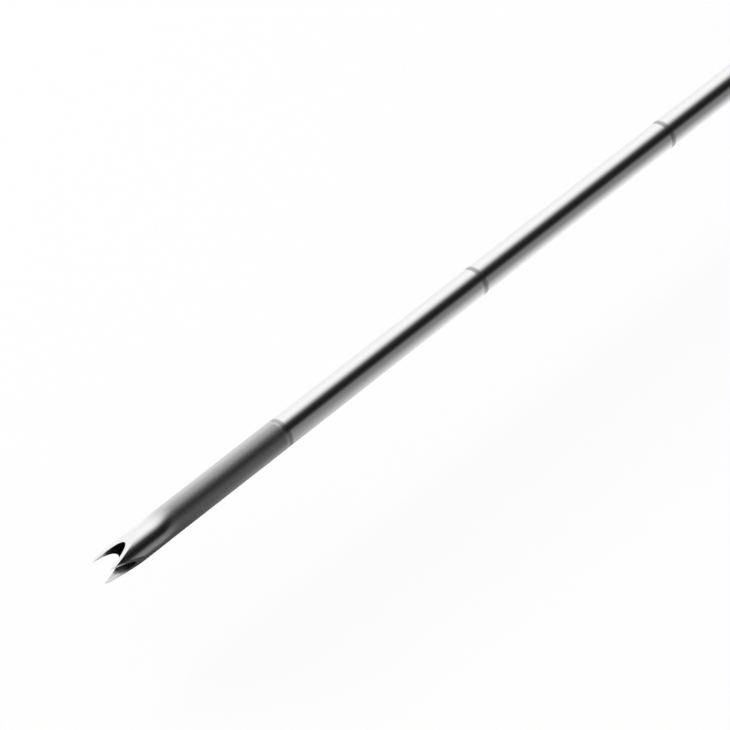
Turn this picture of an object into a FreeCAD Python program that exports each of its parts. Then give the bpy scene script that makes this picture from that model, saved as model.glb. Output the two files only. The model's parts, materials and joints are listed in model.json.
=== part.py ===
# Crown-tipped biopsy needle: a thin-walled cannula with a luer hub, a solid stylet with a cap and a
# luer-lock collar, and a depth stop that a thumb screw clamps on the cannula.
#
# Frame: millimetres. The needle's axis is X, with the crown's points towards -X and the stylet's cap
# towards +X. The origin is the centre of the hub's luer mouth. +Z is up, and the needle lies on the
# flat undersides of its hub and its depth stop, which are both at -rest_height.
# At rest the stylet is drawn back by draw_back, so that the crown is open.

import FreeCAD, Part
import math
import os

# Driving dimensions of the cannula
cannula_od = 1.067
cannula_bore = 0.889
exposed_length = 100.0
point_count = 3
grind_angle = 10.5
crown_clock = -10.0

# Driving dimensions of the hub
rest_height = 5.0
socket_mouth_d = 4.28
luer_taper = 0.06
socket_depth = 9.0
funnel_depth = 2.2
funnel_lip = 0.03
barrel_d = 6.7
barrel_length = 6.5
lug_span = 7.83
lug_width = 3.4
lug_length = 2.0
grip_length = 8.5
grip_corner = 1.8
scoop_radius = 13.0
scoop_depth = 0.9
ridge_count = 4
ridge_pitch = 1.5
ridge_height = 0.3
ridge_root = 0.9
ridge_crest = 0.4
nose_length = 9.0
nose_front_d = 3.8
nose_back_d = 5.6
nose_rib_thickness = 0.8
nose_rib_height = 1.5
well_d = 2.4
well_depth = 6.0
ferrule_wall = 0.4
ferrule_length = 4.6
meniscus_depth = 0.5

# Driving dimensions of the stylet, its cap and the lock collar
rod_gap = 0.025
point_angle = 16.0
point_reach = 0.5
draw_back = 8.0
engagement = 4.5
luer_gap = 0.03
nose_reach = 7.5
collar_set_back = 2.1
flange_d = 6.2
flange_thickness = 0.8
neck_d = 5.0
collar_wall = 1.2
collar_play = 0.2
collar_hole_gap = 0.2
collar_bore_gap = 0.2
collar_shell = 0.45
collar_rib_height = 0.3
collar_rib_count = 20
collar_rib_width = 0.7
knob_d = 9.6
knob_length = 11.0
flute_count = 12
flute_radius = 0.9
flute_depth = 0.35
cap_well_d = 3.4
cap_well_depth = 5.5
rod_ferrule_wall = 0.6
rod_ferrule_length = 3.0
rod_tail = 0.8
plug_d = 7.4
plug_thickness = 1.4
plug_dome = 0.5

# Driving dimensions of the depth stop and its thumb screw
stop_length = 9.0
stop_from_points = 54.0
stop_corner = 2.0
stop_scoop_radius = 9.0
stop_scoop_depth = 1.0
boss_d = 6.8
boss_height = 1.6
sleeve_wall = 1.1
sleeve_gap = 0.03
shoulder_thickness = 1.0
shoulder_gap = 0.25
retainer_d = 5.4
retainer_thickness = 1.5
insert_d = 4.4
insert_length = 3.0
stud_d = 2.5
stud_gap = 0.04
shoe_hole_gap = 0.25
shoe_thickness = 0.9
shoe_gap = 0.05
pilot_d = 1.2
pilot_length = 0.4
pilot_gap = 0.05
head_d = 4.2
head_length = 2.2
thumb_d = 8.6
thumb_height = 4.4
thumb_gap = 0.6
thumb_lobes = 10
thumb_lobe_radius = 0.8
thumb_lobe_depth = 0.4

# Shared clearances and edge breaks
bond_gap = 0.01
edge_break = 0.3
fine_break = 0.15

# Places along the needle's axis, worked out from the sizes above
grip_back_x = -barrel_length
grip_front_x = grip_back_x - grip_length
hub_front_x = grip_front_x - nose_length
points_x = hub_front_x - exposed_length
socket_end_x = -socket_depth
cannula_end_x = socket_end_x - funnel_depth
well_end_x = hub_front_x + well_depth
cap_tip_x = draw_back - engagement
flange_x = cap_tip_x + nose_reach
neck_x = flange_x + flange_thickness
knob_x = neck_x + collar_wall + 2 * collar_play
cap_end_x = knob_x + knob_length
cap_well_x = cap_end_x - plug_thickness - cap_well_depth
collar_front_x = cap_tip_x + collar_set_back
collar_back_x = knob_x - collar_play
stop_x = points_x + stop_from_points

# Radii and heights shared by pieces that fit each other
bore_r = cannula_bore / 2
tube_r = cannula_od / 2
rod_r = bore_r - rod_gap
seat_r = tube_r + bond_gap
sleeve_bore_r = tube_r + sleeve_gap
sleeve_r = sleeve_bore_r + sleeve_wall
shoe_r = stud_d / 2 - stud_gap
shoe_top_z = sleeve_r + shoe_gap + shoe_thickness
boss_top_z = rest_height + boss_height
thumb_z = boss_top_z + thumb_gap

axis = FreeCAD.Vector(1, 0, 0)
up = FreeCAD.Vector(0, 0, 1)
centre = FreeCAD.Vector(0, 0, 0)


def radial(clock):
    """Unit vector square to the needle's axis, turned by clock degrees from straight up towards -Y."""
    turn = math.radians(clock)
    return FreeCAD.Vector(0, -math.sin(turn), math.cos(turn))


def turned(profile):
    """Solid of revolution about the needle's axis from a closed outline of (x, radius) points."""
    corners = [FreeCAD.Vector(x, r, 0) for x, r in profile + profile[:1]]
    return Part.Face(Part.makePolygon(corners)).revolve(centre, axis, 360)


def turned_upright(profile):
    """Solid of revolution about the thumb screw's upright axis from a closed outline of (radius, z) points."""
    corners = [FreeCAD.Vector(stop_x + r, 0, z) for r, z in profile + profile[:1]]
    return Part.Face(Part.makePolygon(corners)).revolve(FreeCAD.Vector(stop_x, 0, 0), up, 360)


def bar(radius, start_x, end_x):
    """Round bar on the needle's axis."""
    return Part.makeCylinder(radius, end_x - start_x, FreeCAD.Vector(start_x, 0, 0), axis)


def ring(outer, inner, start_x, end_x):
    """Round tube on the needle's axis."""
    return bar(outer, start_x, end_x).cut(bar(inner, start_x, end_x))


def block(width, height, start_x, end_x, corner):
    """Block centred on the needle's axis with its four long edges rounded."""
    body = Part.makeBox(end_x - start_x, width, height, FreeCAD.Vector(start_x, -width / 2, -height / 2))
    long_edges = [e for e in body.Edges if abs(e.tangentAt(e.FirstParameter).x) > 0.9]
    return body.makeFillet(corner, long_edges)


def around(shape, count):
    """Copies of a shape, evenly spaced round the needle's axis."""
    return [shape.rotated(centre, axis, 360.0 * i / count) for i in range(count)]


def cannula_tube():
    """Thin tube, ground by flat faces to a crown of sharp points."""
    tube = ring(tube_r, bore_r, points_x, cannula_end_x)
    for i in range(point_count):
        tube = tube.cut(grinding(crown_clock + 360.0 * i / point_count))
    return tube


def grinding(clock):
    """What one flat grind takes off: all that lies outside a plane leaning in towards the points."""
    lean = math.radians(grind_angle)
    outward = radial(clock)
    across = axis.cross(outward)
    along = axis * math.cos(lean) + outward * math.sin(lean)
    away = outward * math.cos(lean) - axis * math.sin(lean)
    apothem = bore_r * math.cos(math.pi / point_count)
    start = FreeCAD.Vector(points_x - apothem / math.tan(lean), 0, 0)
    back = start - along * cannula_od
    reach = along * (2 * cannula_od + 2 * tube_r / math.sin(lean))
    side = across * cannula_od
    corners = [back - side, back + side, back + side + reach, back - side + reach]
    return Part.Face(Part.makePolygon(corners + corners[:1])).extrude(away * (2 * cannula_od))


def cannula_hub():
    """Moulded hub: ribbed nose, square grip with side scoops, luer barrel with two locking lugs."""
    hub = block(2 * rest_height, 2 * rest_height, grip_front_x, grip_back_x, grip_corner)
    hub = hub.makeChamfer(edge_break, end_edges(hub, (grip_front_x, grip_back_x)))
    hub = hub.cut(scoop(scoop_radius, scoop_depth, grip_front_x, grip_back_x, rest_height))
    hub = hub.fuse(grip_ridges()).fuse(hub_nose()).fuse(luer_barrel())
    return hub.cut(hub_hollow()).removeSplitter()


def end_edges(shape, places):
    """Edges of a block that lie in its end faces, at the x values given."""
    return [e for e in shape.Edges if any(abs(e.BoundBox.XMin - x) + abs(e.BoundBox.XMax - x) < 0.001 for x in places)]


def scoop(radius, depth, start_x, end_x, half_width):
    """Two upright drums that hollow the +Y and -Y faces of a block for finger and thumb."""
    middle = (start_x + end_x) / 2
    offset = half_width + radius - depth
    drums = []
    for side in (-1, 1):
        foot = FreeCAD.Vector(middle, side * offset, -half_width * 2)
        drums.append(Part.makeCylinder(radius, half_width * 4, foot, up))
    return drums[0].fuse(drums[1])


def grip_ridges():
    """Upright ridges with drafted sides across both scoops of the hub."""
    middle = (grip_front_x + grip_back_x) / 2
    height = 2 * (rest_height - grip_corner)
    outline = [(-ridge_root / 2, -ridge_height), (-ridge_crest / 2, ridge_height), (ridge_crest / 2, ridge_height),
               (ridge_root / 2, -ridge_height)]
    ridges = []
    for side in (-1, 1):
        for i in range(ridge_count):
            along = (i - (ridge_count - 1) / 2) * ridge_pitch
            sagitta = scoop_radius - math.sqrt(scoop_radius ** 2 - along ** 2)
            floor_y = rest_height - scoop_depth + sagitta
            corners = [FreeCAD.Vector(middle + along + x, side * (floor_y + rise), -height / 2)
                       for x, rise in outline + outline[:1]]
            ridges.append(Part.Face(Part.makePolygon(corners)).extrude(up * height))
    return ridges


def hub_nose():
    """Tapered nose in front of the grip, with four ribs that run out towards the cannula."""
    front, back = nose_front_d / 2, nose_back_d / 2
    cone = turned([(hub_front_x, 0), (hub_front_x, front), (grip_front_x, back), (grip_front_x, 0)])
    top = back + nose_rib_height
    outline = [(hub_front_x + edge_break, 0), (hub_front_x + edge_break, front), (grip_front_x, top),
               (grip_front_x, 0)]
    corners = [FreeCAD.Vector(x, -nose_rib_thickness / 2, z) for x, z in outline + outline[:1]]
    rib = Part.Face(Part.makePolygon(corners)).extrude(FreeCAD.Vector(0, nose_rib_thickness, 0))
    return cone.fuse(around(rib, 4))


def luer_barrel():
    """Round barrel behind the grip, with the two lugs at its mouth that a lock collar draws on."""
    radius = barrel_d / 2
    barrel = turned([(grip_back_x, 0), (grip_back_x, radius), (-fine_break, radius), (0, radius - fine_break), (0, 0)])
    lugs = Part.makeBox(lug_length, lug_width, lug_span, FreeCAD.Vector(-lug_length, -lug_width / 2, -lug_span / 2))
    lugs = lugs.common(bar(lug_span / 2, -lug_length, 0))
    return barrel.fuse(lugs)


def hub_hollow():
    """Tapered luer socket, funnel that leads the stylet in, seat for the cannula, and the glue well."""
    mouth = socket_mouth_d / 2
    socket_end = mouth - luer_taper * socket_depth / 2
    lip = bore_r + funnel_lip
    return turned([(0, 0), (0, mouth), (socket_end_x, socket_end), (cannula_end_x, lip), (cannula_end_x, seat_r),
                   (well_end_x, seat_r), (well_end_x, well_d / 2), (hub_front_x, well_d / 2), (hub_front_x, 0)])


def anchor_ferrule():
    """Steel sleeve fixed on the cannula inside the glue well, which keeps it from pulling out."""
    end_x = well_end_x - bond_gap
    return ring(seat_r + ferrule_wall, seat_r, end_x - ferrule_length, end_x)


def hub_adhesive():
    """Adhesive round the ferrule and the cannula, with a dished front."""
    outer = well_d / 2
    ferrule_r = seat_r + ferrule_wall + bond_gap
    ferrule_front_x = well_end_x - ferrule_length - 2 * bond_gap
    return turned([(hub_front_x, outer), (hub_front_x + meniscus_depth, seat_r), (ferrule_front_x, seat_r),
                   (ferrule_front_x, ferrule_r), (well_end_x, ferrule_r), (well_end_x, outer)])


def stylet_rod():
    """Solid rod with a three-sided ground point, which passes through the cap into its well."""
    seated_tip_x = points_x - point_reach
    tip_x = seated_tip_x + draw_back
    rod = bar(rod_r, tip_x, cap_well_x + rod_ferrule_length + rod_tail)
    lean = math.radians(point_angle)
    for i in range(3):
        outward = radial(120.0 * i)
        across = axis.cross(outward)
        along = axis * math.cos(lean) + outward * math.sin(lean)
        away = outward * math.cos(lean) - axis * math.sin(lean)
        back = FreeCAD.Vector(tip_x, 0, 0) - along * rod_r
        side = across * (2 * rod_r)
        reach = along * (2 * rod_r + 2 * rod_r / math.sin(lean))
        corners = [back - side, back + side, back + side + reach, back - side + reach]
        rod = rod.cut(Part.Face(Part.makePolygon(corners + corners[:1])).extrude(away * (3 * rod_r)))
    return rod


def stylet_cap():
    """Cap: male luer nose, flange and neck that hold the lock collar, and a fluted knob."""
    tip_r = (socket_mouth_d - luer_taper * engagement) / 2 - luer_gap
    base_r = tip_r + luer_taper * nose_reach / 2
    knob_r = knob_d / 2
    cap = turned([(cap_tip_x, 0), (cap_tip_x, tip_r - fine_break), (cap_tip_x + fine_break, tip_r),
                  (flange_x, base_r), (flange_x, flange_d / 2), (neck_x, flange_d / 2), (neck_x, neck_d / 2),
                  (knob_x, neck_d / 2), (knob_x, knob_r - edge_break), (knob_x + edge_break, knob_r),
                  (cap_end_x - edge_break, knob_r), (cap_end_x, knob_r - edge_break), (cap_end_x, 0)])
    flute_offset = knob_r + flute_radius - flute_depth
    start = FreeCAD.Vector(knob_x + 2 * edge_break, 0, flute_offset)
    flute = Part.makeCylinder(flute_radius, knob_length - 4 * edge_break, start, axis)
    cap = cap.cut(around(flute, flute_count))
    plug_x = cap_end_x - plug_thickness
    hollow = turned([(cap_tip_x, 0), (cap_tip_x, rod_r + bond_gap), (cap_well_x, rod_r + bond_gap),
                     (cap_well_x, cap_well_d / 2), (plug_x, cap_well_d / 2), (plug_x, plug_d / 2),
                     (cap_end_x, plug_d / 2), (cap_end_x, 0)])
    return cap.cut(hollow)


def rod_ferrule():
    """Steel sleeve crimped on the rod's tail in the cap's well."""
    start_x = cap_well_x + bond_gap
    return ring(rod_r + bond_gap + rod_ferrule_wall, rod_r + bond_gap, start_x, start_x + rod_ferrule_length)


def stylet_adhesive():
    """Adhesive that fills the cap's well round the ferrule and over the rod's tail."""
    fill = bar(cap_well_d / 2, cap_well_x, cap_end_x - plug_thickness)
    tail_x = cap_well_x + rod_ferrule_length + rod_tail
    core = bar(rod_r + bond_gap, cap_well_x, tail_x + bond_gap)
    sleeve = bar(rod_r + rod_ferrule_wall + 2 * bond_gap, cap_well_x, cap_well_x + rod_ferrule_length + 2 * bond_gap)
    return fill.cut(core.fuse(sleeve))


def cap_end_plug():
    """Domed plug in the gauge's colour that closes the cap's back."""
    radius = plug_d / 2 - bond_gap
    start_x = cap_end_x - plug_thickness
    disc = bar(radius, start_x, cap_end_x)
    sphere_r = (radius ** 2 + plug_dome ** 2) / (2 * plug_dome)
    ball = Part.makeSphere(sphere_r, FreeCAD.Vector(cap_end_x + plug_dome - sphere_r, 0, 0))
    return disc.fuse(ball.common(bar(radius, cap_end_x - fine_break, cap_end_x + plug_dome))).removeSplitter()


def lock_collar():
    """Ribbed luer-lock collar that spins on the cap's neck, between its flange and its knob."""
    inner_r = lug_span / 2 + collar_bore_gap
    outer_r = inner_r + collar_shell
    collar = turned([(collar_front_x, inner_r + fine_break), (collar_front_x, outer_r), (collar_back_x - edge_break, outer_r),
                     (collar_back_x, outer_r - edge_break), (collar_back_x, neck_d / 2 + collar_hole_gap),
                     (collar_back_x - collar_wall, neck_d / 2 + collar_hole_gap), (collar_back_x - collar_wall, inner_r),
                     (collar_front_x + fine_break, inner_r)])
    rib_start = collar_front_x + 2 * edge_break
    rib_length = collar_back_x - collar_front_x - 4 * edge_break
    rib_foot = FreeCAD.Vector(rib_start, -collar_rib_width / 2, inner_r + collar_shell / 2)
    rib = Part.makeBox(rib_length, collar_rib_width, collar_shell / 2 + collar_rib_height, rib_foot)
    return collar.fuse(around(rib, collar_rib_count))


def stop_body():
    """Depth stop's block: flat underside, finger scoops, a boss for the screw, a bore for the sleeve."""
    start_x, end_x = stop_x - stop_length / 2, stop_x + stop_length / 2
    body = block(2 * rest_height, 2 * rest_height, start_x, end_x, stop_corner)
    body = body.makeChamfer(edge_break, end_edges(body, (start_x, end_x)))
    body = body.cut(scoop(stop_scoop_radius, stop_scoop_depth, start_x, end_x, rest_height))
    boss_r = boss_d / 2
    boss = turned_upright([(0, 0), (boss_r, 0), (boss_r, boss_top_z - edge_break), (boss_r - edge_break, boss_top_z),
                           (0, boss_top_z)])
    body = body.fuse(boss)
    guide_r = sleeve_bore_r + shoulder_gap
    bore = turned([(start_x, 0), (start_x, guide_r), (start_x + shoulder_thickness, guide_r),
                   (start_x + shoulder_thickness, sleeve_r), (end_x - retainer_thickness, sleeve_r),
                   (end_x - retainer_thickness, retainer_d / 2), (end_x, retainer_d / 2), (end_x, 0)])
    shoe_hole_r = shoe_r + shoe_hole_gap
    insert_foot_z = boss_top_z - insert_length
    shaft = turned_upright([(0, 0), (shoe_hole_r, 0), (shoe_hole_r, insert_foot_z), (insert_d / 2, insert_foot_z),
                            (insert_d / 2, boss_top_z), (0, boss_top_z)])
    return body.cut(bore).cut(shaft).removeSplitter()


def grip_sleeve():
    """Silicone sleeve that grips the cannula inside the stop."""
    start_x = stop_x - stop_length / 2 + shoulder_thickness
    end_x = stop_x + stop_length / 2 - retainer_thickness
    return ring(sleeve_r - bond_gap, sleeve_bore_r, start_x, end_x)


def sleeve_retainer():
    """Press-in ring that keeps the sleeve in the stop."""
    end_x = stop_x + stop_length / 2
    return ring(retainer_d / 2 - bond_gap, sleeve_bore_r + shoulder_gap, end_x - retainer_thickness, end_x)


def thread_insert():
    """Brass insert for the clamp screw, pressed into the boss."""
    outer, inner = insert_d / 2 - bond_gap, stud_d / 2 + stud_gap
    foot = boss_top_z - insert_length
    return turned_upright([(inner, foot), (outer, foot), (outer, boss_top_z), (inner, boss_top_z)])


def clamp_shoe():
    """Pressure shoe under the screw, hollowed below to sit on the sleeve, with a pocket for the pilot."""
    shoe = turned_upright([(0, 0), (shoe_r, 0), (shoe_r, shoe_top_z), (0, shoe_top_z)])
    pocket_r = pilot_d / 2 + pilot_gap
    pocket = turned_upright([(0, shoe_top_z - pilot_length - pilot_gap), (pocket_r, shoe_top_z - pilot_length - pilot_gap),
                             (pocket_r, shoe_top_z), (0, shoe_top_z)])
    saddle = bar(sleeve_r + shoe_gap, stop_x - stop_length, stop_x + stop_length)
    lower_half = Part.makeBox(stop_length, stop_length, stop_length,
                              FreeCAD.Vector(stop_x - stop_length / 2, -stop_length / 2, -stop_length))
    return shoe.cut(saddle).cut(pocket).cut(lower_half)


def screw_stud():
    """Steel stud of the thumb screw: pilot at its foot, hexagonal head held in the knob."""
    radius = stud_d / 2
    foot = shoe_top_z + pilot_gap
    head_z = thumb_z + fine_break
    stud = turned_upright([(0, foot - pilot_length), (pilot_d / 2, foot - pilot_length), (pilot_d / 2, foot),
                           (radius - fine_break, foot), (radius, foot + fine_break), (radius, head_z), (0, head_z)])
    corners = [FreeCAD.Vector(stop_x + head_d / 2 * math.cos(math.radians(60 * i)),
                              head_d / 2 * math.sin(math.radians(60 * i)), head_z) for i in range(6)]
    head = Part.Face(Part.makePolygon(corners + corners[:1])).extrude(up * head_length)
    return stud.fuse(head)


def thumb_knob():
    """Lobed plastic knob moulded over the stud's head, with a dished top."""
    radius = thumb_d / 2
    top = thumb_z + thumb_height
    knob = turned_upright([(0, thumb_z), (radius - edge_break, thumb_z), (radius, thumb_z + edge_break),
                           (radius, top - edge_break), (radius - edge_break, top), (radius - 2 * edge_break, top),
                           (radius - 3 * edge_break, top - edge_break), (0, top - edge_break)])
    offset = radius + thumb_lobe_radius - thumb_lobe_depth
    lobe = Part.makeCylinder(thumb_lobe_radius, thumb_height, FreeCAD.Vector(stop_x + offset, 0, thumb_z), up)
    screw_axis = FreeCAD.Vector(stop_x, 0, 0)
    knob = knob.cut([lobe.rotated(screw_axis, up, 360.0 * i / thumb_lobes) for i in range(thumb_lobes)])
    return knob.cut(screw_stud())


parts = {
    "cannula_tube": cannula_tube(),
    "cannula_hub": cannula_hub(),
    "anchor_ferrule": anchor_ferrule(),
    "hub_adhesive": hub_adhesive(),
    "stylet_rod": stylet_rod(),
    "stylet_cap": stylet_cap(),
    "rod_ferrule": rod_ferrule(),
    "stylet_adhesive": stylet_adhesive(),
    "cap_end_plug": cap_end_plug(),
    "lock_collar": lock_collar(),
    "stop_body": stop_body(),
    "grip_sleeve": grip_sleeve(),
    "sleeve_retainer": sleeve_retainer(),
    "thread_insert": thread_insert(),
    "clamp_shoe": clamp_shoe(),
    "screw_stud": screw_stud(),
    "thumb_knob": thumb_knob(),
}

os.makedirs("parts", exist_ok=True)
for name, shape in parts.items():
    shape.exportStep(f"parts/{name}.step")
    print(f"{name}: {len(shape.Solids)} solid, volume {shape.Volume:.3f} mm3, valid {shape.isValid()}")
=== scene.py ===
# %% [markdown]
# A biopsy needle in Blender: a thin steel cannula with a crown of three points, a solid stylet inside
# it, a clear hub, a capped handle and a clamped depth stop.
#
# The construction comes ready as a fixed frame: every piece at its real size, riding on the body that
# moves it. This lesson adds what a frame lacks, which is fine shape and finish. It loads the frame
# first, because the places below are read from it, and keeps its box.

# %% Load the frame
import json
import math

import bmesh
import bpy
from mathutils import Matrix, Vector


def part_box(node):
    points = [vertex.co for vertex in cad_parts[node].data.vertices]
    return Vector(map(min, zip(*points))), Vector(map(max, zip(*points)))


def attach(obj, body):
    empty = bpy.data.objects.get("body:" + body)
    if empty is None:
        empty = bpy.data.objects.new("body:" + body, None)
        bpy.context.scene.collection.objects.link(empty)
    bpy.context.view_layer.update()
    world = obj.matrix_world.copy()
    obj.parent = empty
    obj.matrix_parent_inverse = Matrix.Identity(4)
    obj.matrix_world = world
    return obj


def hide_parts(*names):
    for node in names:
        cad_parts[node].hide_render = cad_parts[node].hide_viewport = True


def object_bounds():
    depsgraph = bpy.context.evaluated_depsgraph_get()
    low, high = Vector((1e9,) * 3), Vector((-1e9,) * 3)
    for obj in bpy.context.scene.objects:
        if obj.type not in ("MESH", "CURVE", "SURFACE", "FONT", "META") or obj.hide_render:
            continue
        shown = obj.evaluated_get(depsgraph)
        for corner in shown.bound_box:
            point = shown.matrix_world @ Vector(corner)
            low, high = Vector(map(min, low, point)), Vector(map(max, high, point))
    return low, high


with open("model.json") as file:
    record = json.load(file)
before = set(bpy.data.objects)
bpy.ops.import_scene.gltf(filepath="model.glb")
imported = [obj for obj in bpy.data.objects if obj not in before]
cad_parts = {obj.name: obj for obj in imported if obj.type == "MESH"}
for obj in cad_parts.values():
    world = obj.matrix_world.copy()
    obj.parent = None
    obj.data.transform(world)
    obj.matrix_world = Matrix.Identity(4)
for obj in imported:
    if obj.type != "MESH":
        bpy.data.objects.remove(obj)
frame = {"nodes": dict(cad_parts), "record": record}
cad_low, cad_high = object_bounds()
nodes = frame["nodes"]
mm = 0.001
print("nodes", len(nodes), "size in mm", [round(side / mm, 2) for side in cad_high - cad_low])

# %% [markdown]
# The photograph looks down on the crown from the left at a long focal length, and shows 24 mm of
# width. The needle runs from the lower left to the right edge and tilts away from the lens. A camera
# can be placed by eye, but here its bearing and height were worked out from the shaft's slope and the
# roundness of its ring marks. They are two angles round the point that the picture is centred on.

# %% Place the camera
camera_bearing = math.radians(-50.33)
camera_height = math.radians(40.29)
camera_distance = 280 * mm
picture_width = 23.77 * mm
picture_centre = Vector((-110.93 * mm, 0, 0.10 * mm))

towards_camera = Vector((math.sin(camera_bearing) * math.cos(camera_height),
                         -math.cos(camera_bearing) * math.cos(camera_height),
                         math.sin(camera_height)))
camera_data = bpy.data.cameras.new("camera")
camera = bpy.data.objects.new("camera", camera_data)
bpy.context.scene.collection.objects.link(camera)
camera.location = picture_centre + towards_camera * camera_distance
camera.rotation_euler = (-towards_camera).to_track_quat("-Z", "Y").to_euler()
camera_data.lens = camera_data.sensor_width * camera_distance / picture_width
camera_data.clip_start = 1 * mm
camera_data.clip_end = 20
bpy.context.scene.camera = camera
bpy.context.scene.view_settings.view_transform = "Standard"
print("lens in mm", round(camera_data.lens, 1))

# %% [markdown]
# Everything that follows is shaded with nodes. A few short helpers keep those graphs readable: one
# adds a node with its values, and the others return the one socket that the next node needs.

# %% Tools for shader nodes
def put(tree, kind, inputs=None, **settings):
    """Add a node, set its fields, then set or link its sockets, given by name or number."""
    added = tree.nodes.new(kind)
    for field, value in settings.items():
        setattr(added, field, value)
    for socket, value in (inputs or {}).items():
        if isinstance(value, bpy.types.NodeSocket):
            tree.links.new(value, added.inputs[socket])
        else:
            added.inputs[socket].default_value = value
    return added


def maths(tree, operation, first, second=0.0):
    """One sum on numbers or sockets."""
    return put(tree, "ShaderNodeMath", {0: first, 1: second}, operation=operation).outputs[0]


def step(tree, value, low, high, low_out=0.0, high_out=1.0):
    """A smooth step from low_out to high_out while value goes from low to high."""
    stretch = {"Value": value, "From Min": low, "From Max": high, "To Min": low_out, "To Max": high_out}
    return put(tree, "ShaderNodeMapRange", stretch, interpolation_type="SMOOTHSTEP").outputs["Result"]


def blend(tree, mask, first, second):
    """Colour first where mask is 0, and second where it is 1."""
    return put(tree, "ShaderNodeMix", {0: mask, 6: first, 7: second}, data_type="RGBA").outputs[2]


def grey(tone):
    """A neutral colour."""
    return (tone, tone, tone, 1)


def tones(tree, value, places):
    """A ramp through (place from 0 to 1, brightness) points."""
    band = put(tree, "ShaderNodeValToRGB", {"Fac": value})
    points = band.color_ramp.elements
    while len(points) < len(places):
        points.new(0.5)
    for point, (place, tone) in zip(points, places):
        point.position = place
        point.color = grey(tone)
    return band.outputs["Color"]


print("node helpers ready")

# %% [markdown]
# Polished steel has hardly any colour of its own: it shows the room. In the photograph white cloth
# hangs behind and above the needle, and the side that the lens looks from is dark, so the shaft has a
# white upper half and a black stripe, and the white table lights its lower edge again.
#
# A room of walls and lamps could give that, but a sky is simpler and free of noise. The sky's tone
# depends only on the angle round the needle's axis, from straight up towards the lens's side.
# Mirrored rays read those tones. Rays straight from the lens, or through clear plastic, find plain
# white, and matt surfaces get an even light.

# %% Make the studio's sky
sky_tones = [(-180, 0.95), (-95, 0.98), (-70, 1.08), (-37, 1.16), (-16, 0.95), (0, 0.40), (14, 0.06),
             (36, 0.01), (56, 0.03), (73, 0.19), (88, 0.25), (180, 0.25)]
matt_light = 0.62

world = bpy.data.worlds.new("studio")
bpy.context.scene.world = world
world.use_nodes = True
world.cycles.sampling_method = "NONE"
sky = world.node_tree
sky.nodes.clear()
direction = put(sky, "ShaderNodeTexCoord").outputs["Generated"]
parts = put(sky, "ShaderNodeSeparateXYZ", {"Vector": direction})
to_lens_side = maths(sky, "MULTIPLY", parts.outputs["Y"], -1.0)
angle = maths(sky, "ARCTAN2", to_lens_side, parts.outputs["Z"])
share = maths(sky, "ADD", maths(sky, "DIVIDE", angle, 2 * math.pi), 0.5)
mirrored = tones(sky, share, [((degrees + 180) / 360, tone) for degrees, tone in sky_tones])
path = put(sky, "ShaderNodeLightPath")
seen = maths(sky, "MAXIMUM", path.outputs["Is Camera Ray"], path.outputs["Is Transmission Ray"])
light = blend(sky, path.outputs["Is Glossy Ray"], grey(matt_light), mirrored)
background = put(sky, "ShaderNodeBackground", {"Color": blend(sky, seen, light, grey(1)), "Strength": 1.0})
put(sky, "ShaderNodeOutputWorld", {"Surface": background.outputs[0]})
print("sky tones", len(sky_tones), "matt light", matt_light)

# %% [markdown]
# The needle lies on a white table. The table has to look white to the lens and still keep the
# needle's faint shadow, so most of its white comes from a glow that only the lens and clear plastic
# see, and the rest from the lamp's light on it. In the steel the table is bright behind the needle,
# and fades on the lens's side, most of all round the crown, where the cloth's light doesn't reach.

# %% Lay the table
table_size = 12
table_tones = [(-60, 0.25), (-30, 0.27), (-12, 0.38), (-5.4, 0.64), (-2, 0.95), (0, 1.08), (60, 1.05)]
crown_tones = [(-126, 0.75), (-121.3, 0.7), (-120.8, 0.06), (-117, 0.11), (-113, 0.42), (-110, 0.62),
               (-106, 0.80), (-98, 1.0), (-90, 1.0)]
behind_start = 0.5 * mm
behind_end = 2.5 * mm
table_glow = 0.745
table_lit = 0.30

bpy.ops.object.select_all(action="DESELECT")
bpy.ops.mesh.primitive_plane_add(size=table_size, location=(0, 0, cad_low.z))
table = bpy.context.object
table.name = "table"
table_white = bpy.data.materials.new("table_white")
table_white.use_nodes = True
table_white.cycles.emission_sampling = "NONE"
top = table_white.node_tree
top.nodes.clear()
place = put(top, "ShaderNodeSeparateXYZ", {"Vector": put(top, "ShaderNodeTexCoord").outputs["Object"]})


def table_ramp(distance, places):
    """A ramp over the table, through (place in mm, brightness) points."""
    first, last = places[0][0], places[-1][0]
    stretch = {"Value": distance, "From Min": first * mm, "From Max": last * mm}
    reached = put(top, "ShaderNodeMapRange", stretch).outputs["Result"]
    return tones(top, reached, [((at - first) / (last - first), tone) for at, tone in places])


beside = table_ramp(place.outputs["Y"], table_tones)
behind = step(top, place.outputs["Y"], behind_start, behind_end)
before = blend(top, behind, table_ramp(place.outputs["X"], crown_tones), grey(1))
mirror_tone = maths(top, "MULTIPLY", beside, before)
rays = put(top, "ShaderNodeLightPath")
seen = maths(top, "MAXIMUM", rays.outputs["Is Camera Ray"], rays.outputs["Is Transmission Ray"])
glow = put(top, "ShaderNodeEmission", {"Color": grey(1), "Strength": table_glow})
lit = put(top, "ShaderNodeBsdfDiffuse", {"Color": grey(table_lit)})
to_lens = put(top, "ShaderNodeAddShader", {0: glow.outputs[0], 1: lit.outputs[0]})
to_steel = put(top, "ShaderNodeEmission", {"Color": mirror_tone, "Strength": 1.0})
to_matt = put(top, "ShaderNodeBsdfDiffuse", {"Color": grey(0.8)})
matt_or_steel = put(top, "ShaderNodeMixShader", {0: rays.outputs["Is Glossy Ray"], 1: to_matt.outputs[0],
                                                 2: to_steel.outputs[0]})
either = put(top, "ShaderNodeMixShader", {0: seen, 1: matt_or_steel.outputs[0], 2: to_lens.outputs[0]})
put(top, "ShaderNodeOutputMaterial", {"Surface": either.outputs[0]})
table.data.materials.append(table_white)
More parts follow.
